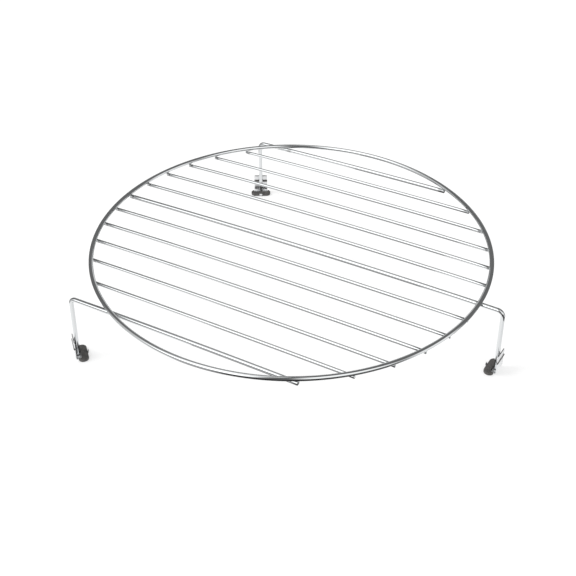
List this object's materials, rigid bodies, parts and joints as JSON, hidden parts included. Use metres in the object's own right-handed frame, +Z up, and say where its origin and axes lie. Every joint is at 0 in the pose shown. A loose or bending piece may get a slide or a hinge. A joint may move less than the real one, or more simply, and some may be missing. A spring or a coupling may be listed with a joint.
{
  "type": "microwave oven rack",
  "caption": "Low round wire rack for a microwave oven: a ring on straight parallel wires, with turned-down wire legs on clipped rubber feet.",
  "frame": {"origin": "on the floor, under the middle of the box that the rack fills", "axes": "+X along the parallel wires, towards the middle wire's leg; +Z up"},
  "size_m": [0.313, 0.2932, 0.057],
  "materials": {
    "chromed_wire": "bright chrome plating on drawn steel wire",
    "strip_steel": "bright plated strip with darker pressed rib",
    "rubber": "moulded matt black silicone rubber"
  },
  "bodies": {
    "root": {"rim_ring": "chromed_wire", "cross_wire_02": "chromed_wire", "cross_wire_03": "chromed_wire", "cross_wire_04": "chromed_wire", "cross_wire_05": "chromed_wire", "cross_wire_06": "chromed_wire", "cross_wire_08": "chromed_wire", "cross_wire_09": "chromed_wire", "cross_wire_10": "chromed_wire", "cross_wire_11": "chromed_wire", "cross_wire_12": "chromed_wire", "right_leg_wire": "chromed_wire", "back_leg_wire": "chromed_wire", "left_leg_wire": "chromed_wire", "right_foot_clip": "strip_steel", "back_foot_clip": "strip_steel", "left_foot_clip": "strip_steel", "right_foot_pad": "rubber", "back_foot_pad": "rubber", "left_foot_pad": "rubber"}
  },
  "joints": []
}
